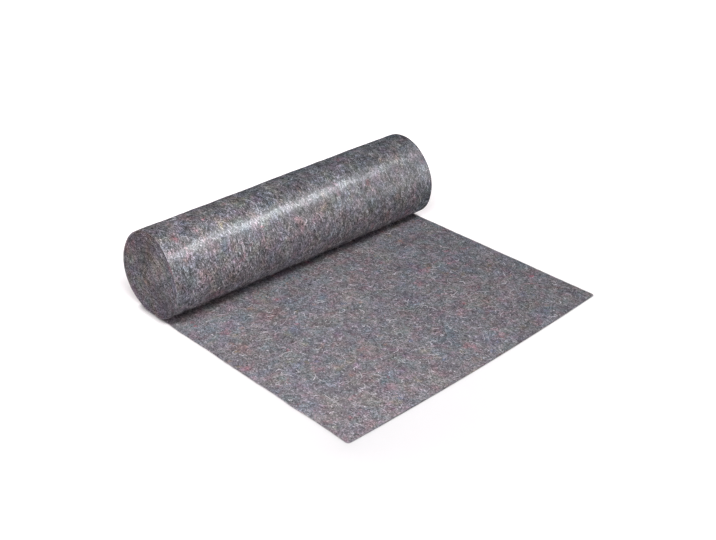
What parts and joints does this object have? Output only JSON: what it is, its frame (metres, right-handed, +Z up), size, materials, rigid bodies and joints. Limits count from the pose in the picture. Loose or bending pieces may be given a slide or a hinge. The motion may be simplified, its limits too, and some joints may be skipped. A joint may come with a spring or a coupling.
{
  "type": "roll of painters fleece",
  "caption": "Roll of grey recycled-fibre floor protection fleece lying on its side, film-coated on its outer face, with one end unrolled flat in front of it.",
  "frame": {"origin": "middle of the footprint of the roll and its loose end, on the floor", "axes": "+X along the roll, -Y the way the loose end points, +Z up"},
  "size_m": [1.018, 0.9492, 0.2631],
  "materials": {
    "fleece": "needled grey recycled-fibre felt with coloured flecks; matt on the face that lies upwards, glossy thin film on the face that is wound outwards"
  },
  "bodies": {
    "root": {"fleece_roll": "fleece"}
  },
  "joints": []
}
